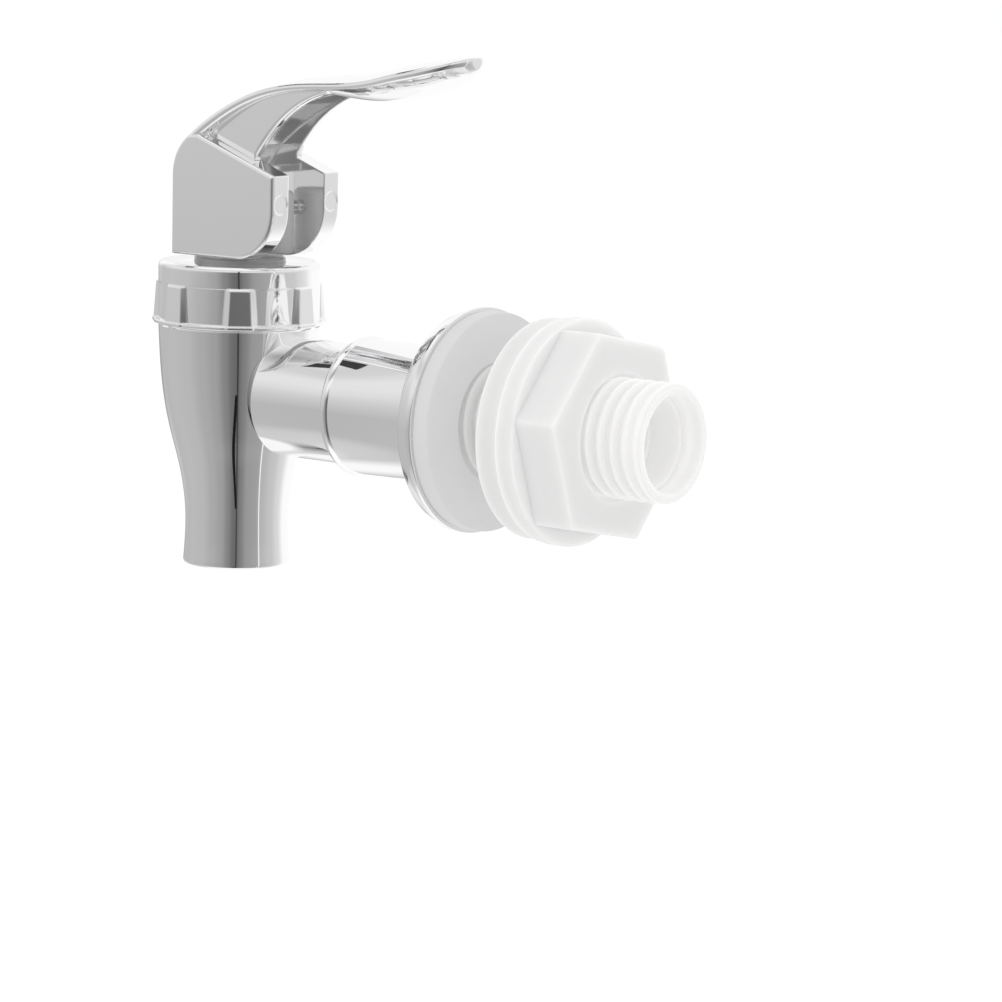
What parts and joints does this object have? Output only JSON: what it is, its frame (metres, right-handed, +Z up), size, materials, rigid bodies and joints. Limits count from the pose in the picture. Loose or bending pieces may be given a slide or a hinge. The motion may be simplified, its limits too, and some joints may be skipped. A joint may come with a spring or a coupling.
{
  "type": "beverage dispenser spigot",
  "caption": "Lever-operated spigot for a drink dispenser: chromed bulb body with a hanging spout, fluted collar, swivelling thumb lever, threaded shank, sealing gaskets and flanged nut.",
  "frame": {"origin": "centre of the face that the outer gasket lays on the tank wall, on the shank's axis", "axes": "+X along the threaded shank into the tank, +Z up, the spout hangs down on the -X side"},
  "size_m": [0.0872, 0.0306, 0.073],
  "materials": {
    "chrome_plating": "mirror chrome plating on moulded plastic",
    "frosted_plastic": "frosted translucent white moulding",
    "grey_silicone": "soft satin silicone, light grey",
    "clear_silicone": "soft satin silicone, milky white",
    "dark_plastic": "moulded black plastic",
    "white_plastic": "smooth moulded white plastic",
    "steel": "bright drawn stainless steel"
  },
  "bodies": {
    "tap": {"tap_body": "chrome_plating", "shank": "frosted_plastic", "shank_seal": "clear_silicone", "outer_gasket": "grey_silicone"},
    "inner_washer": {"inner_gasket": "clear_silicone"},
    "nut": {"mounting_nut": "frosted_plastic"},
    "bonnet": {"stem_guide": "dark_plastic"},
    "collar_ring": {"collar": "chrome_plating"},
    "valve": {"seat_cup": "clear_silicone", "return_spring": "steel"},
    "lift_stem": {"stem": "white_plastic"},
    "handle": {"lever": "chrome_plating", "lever_pin": "steel"}
  },
  "joints": [
    {"name": "nut_travel", "type": "slide", "parent": "tap", "child": "inner_washer", "axis": [1, 0, 0], "range_m": [-0.0075, 0.0178]},
    {"name": "nut_spin", "type": "hinge", "parent": "inner_washer", "child": "nut", "pos_m": [0.016, 0, 0], "axis": [1, 0, 0], "range_deg": [-1351, 3206]},
    {"name": "collar_travel", "type": "slide", "parent": "tap", "child": "bonnet", "axis": [0, 0, 1], "range_m": [0, 0.0051]},
    {"name": "collar_spin", "type": "hinge", "parent": "bonnet", "child": "collar_ring", "pos_m": [-0.0458, 0, 0.014], "axis": [0, 0, 1], "range_deg": [0, 919]},
    {"name": "stem_lift", "type": "slide", "parent": "bonnet", "child": "valve", "axis": [0, 0, 1], "range_m": [0, 0.00254], "stiffness_N_per_m": 2000, "springref_m": -0.005, "deforming": ["seat_cup", "return_spring"]},
    {"name": "handle_swivel", "type": "hinge", "parent": "valve", "child": "lift_stem", "pos_m": [-0.0458, 0, 0.0252], "axis": [0, 0, 1], "continuous": true},
    {"name": "handle_tilt", "type": "hinge", "parent": "lift_stem", "child": "handle", "pos_m": [-0.0458, 0, 0.0252], "axis": [0, 1, 0], "range_deg": [0, 28.1]}
  ],
  "couplings": [
    {"joint": "nut_spin", "follows": "nut_travel", "rad_per_m": 3141.6},
    {"joint": "collar_spin", "follows": "collar_travel", "rad_per_m": 3141.6},
    {"joint": "handle_tilt", "follows": "stem_lift", "rad_per_m": 192.5}
  ]
}
